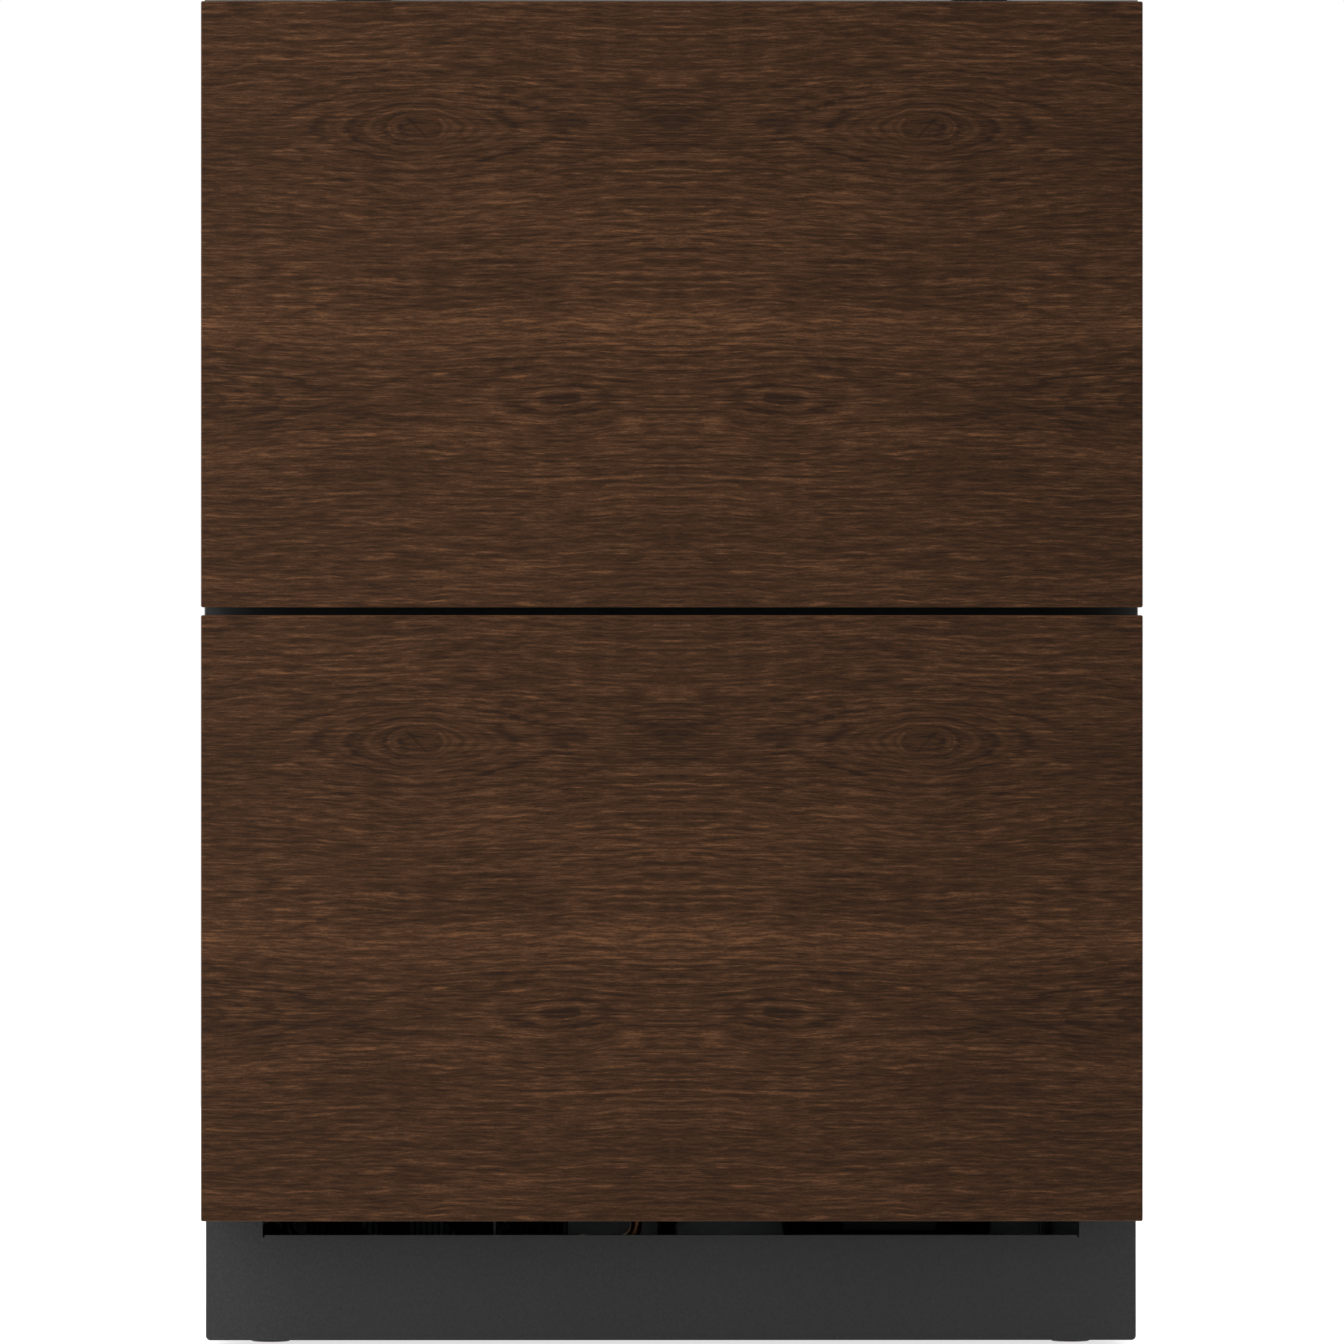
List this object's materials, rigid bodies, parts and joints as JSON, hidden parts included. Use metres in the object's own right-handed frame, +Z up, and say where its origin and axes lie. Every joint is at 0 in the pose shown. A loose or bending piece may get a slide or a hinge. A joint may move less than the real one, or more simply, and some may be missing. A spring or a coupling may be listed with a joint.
{
  "type": "undercounter drawer refrigerator",
  "caption": "Undercounter refrigerator with two stacked pull-out drawers behind dark wood overlay panels, a set-back dark kick plate with an air slot, and levelling legs.",
  "frame": {"origin": "on the floor at the middle of the footprint", "axes": "+Z up, +X to the right seen from the front; the drawers open towards -Y"},
  "size_m": [0.606, 0.61, 0.8763],
  "materials": {
    "wood_veneer": "satin veneer, horizontal grain",
    "stainless": "brushed",
    "dark_steel": "satin dark grey",
    "case_steel": "satin grey",
    "galvanised": "galvanised",
    "zinc": "zinc plated",
    "foam": "rigid foam",
    "gasket_rubber": "matte",
    "black_paint": "gloss paint",
    "black_plastic": "matte",
    "light_plastic": "fine texture",
    "copper": "bare copper",
    "fin_aluminium": "mill finish",
    "lens": "frosted",
    "board": "solder mask"
  },
  "bodies": {
    "cabinet": {"outer_case": "case_steel", "back_panel": "case_steel", "cabinet_foam": "foam", "inner_liner": "stainless", "face_frame": "stainless", "mullion": "stainless", "base_pan": "galvanised", "kick_plate": "dark_steel", "rear_grille": "galvanised", "cabinet_screws": "zinc", "counter_brackets": "case_steel", "cord_gland": "gasket_rubber", "compressor_shell": "black_paint", "compressor_grommets": "gasket_rubber", "compressor_bolts": "zinc", "terminal_cover": "black_plastic", "condenser_coil": "black_paint", "condenser_shroud": "black_plastic", "condenser_fan_motor": "galvanised", "refrigerant_pipes": "copper", "drain_pan": "black_plastic", "drain_tube": "gasket_rubber", "power_board_box": "light_plastic", "evaporator_coil": "fin_aluminium", "evaporator_cover": "stainless", "evaporator_fan_motor": "galvanised", "temperature_sensor": "light_plastic", "control_housing": "light_plastic", "control_board": "board", "led_lens": "lens", "cabinet_rails": "zinc"},
    "upper_drawer": {"upper_panel": "wood_veneer", "upper_front_skin": "stainless", "upper_front_foam": "foam", "upper_front_liner": "light_plastic", "upper_gasket": "gasket_rubber", "upper_box": "stainless", "upper_drawer_rails": "zinc", "upper_front_screws": "zinc"},
    "upper_middle_rails": {"upper_middle_rails": "zinc"},
    "upper_divider": {"upper_divider": "light_plastic"},
    "lower_drawer": {"lower_panel": "wood_veneer", "lower_front_skin": "stainless", "lower_front_foam": "foam", "lower_front_liner": "light_plastic", "lower_gasket": "gasket_rubber", "lower_box": "stainless", "lower_drawer_rails": "zinc", "lower_front_screws": "zinc"},
    "lower_middle_rails": {"lower_middle_rails": "zinc"},
    "lower_divider": {"lower_divider": "light_plastic"},
    "condenser_fan": {"condenser_fan": "black_plastic"},
    "evaporator_fan": {"evaporator_fan": "black_plastic"},
    "leg_front_left": {"leg_front_left": "zinc"},
    "leg_front_right": {"leg_front_right": "zinc"},
    "leg_rear_left": {"leg_rear_left": "zinc"},
    "leg_rear_right": {"leg_rear_right": "zinc"},
    "button_power": {"button_power": "light_plastic"},
    "button_colder": {"button_colder": "light_plastic"},
    "button_warmer": {"button_warmer": "light_plastic"}
  },
  "joints": [
    {"name": "upper_drawer_slide", "type": "slide", "parent": "cabinet", "child": "upper_drawer", "axis": [0, -1, 0], "range_m": [0, 0.4]},
    {"name": "upper_middle_slide", "type": "slide", "parent": "cabinet", "child": "upper_middle_rails", "axis": [0, -1, 0], "range_m": [0, 0.2]},
    {"name": "lower_drawer_slide", "type": "slide", "parent": "cabinet", "child": "lower_drawer", "axis": [0, -1, 0], "range_m": [0, 0.4]},
    {"name": "lower_middle_slide", "type": "slide", "parent": "cabinet", "child": "lower_middle_rails", "axis": [0, -1, 0], "range_m": [0, 0.2]},
    {"name": "upper_divider_slide", "type": "slide", "parent": "upper_drawer", "child": "upper_divider", "axis": [0, 1, 0], "range_m": [-0.2, 0.2]},
    {"name": "lower_divider_slide", "type": "slide", "parent": "lower_drawer", "child": "lower_divider", "axis": [0, 1, 0], "range_m": [-0.13, 0.12]},
    {"name": "condenser_fan_spin", "type": "hinge", "parent": "cabinet", "child": "condenser_fan", "pos_m": [-0.15795, 0.1663, 0.1055], "axis": [0, 1, 0], "continuous": true},
    {"name": "evaporator_fan_spin", "type": "hinge", "parent": "cabinet", "child": "evaporator_fan", "pos_m": [0, 0.2202, 0.7], "axis": [0, 1, 0], "continuous": true},
    {"name": "button_power_press", "type": "slide", "parent": "cabinet", "child": "button_power", "axis": [0, 1, 0], "range_m": [0, 0.0012], "stiffness_N_per_m": 1000},
    {"name": "button_colder_press", "type": "slide", "parent": "cabinet", "child": "button_colder", "axis": [0, 1, 0], "range_m": [0, 0.0012], "stiffness_N_per_m": 1000},
    {"name": "button_warmer_press", "type": "slide", "parent": "cabinet", "child": "button_warmer", "axis": [0, 1, 0], "range_m": [0, 0.0012], "stiffness_N_per_m": 1000},
    {"name": "leg_front_left_screw", "type": "slide", "parent": "cabinet", "child": "leg_front_left", "axis": [0, 0, -1], "range_m": [0, 0.025]},
    {"name": "leg_front_right_screw", "type": "slide", "parent": "cabinet", "child": "leg_front_right", "axis": [0, 0, -1], "range_m": [0, 0.025]},
    {"name": "leg_rear_left_screw", "type": "slide", "parent": "cabinet", "child": "leg_rear_left", "axis": [0, 0, -1], "range_m": [0, 0.025]},
    {"name": "leg_rear_right_screw", "type": "slide", "parent": "cabinet", "child": "leg_rear_right", "axis": [0, 0, -1], "range_m": [0, 0.025]}
  ],
  "couplings": [
    {"joint": "upper_middle_slide", "follows": "upper_drawer_slide", "ratio": 0.5},
    {"joint": "lower_middle_slide", "follows": "lower_drawer_slide", "ratio": 0.5}
  ]
}
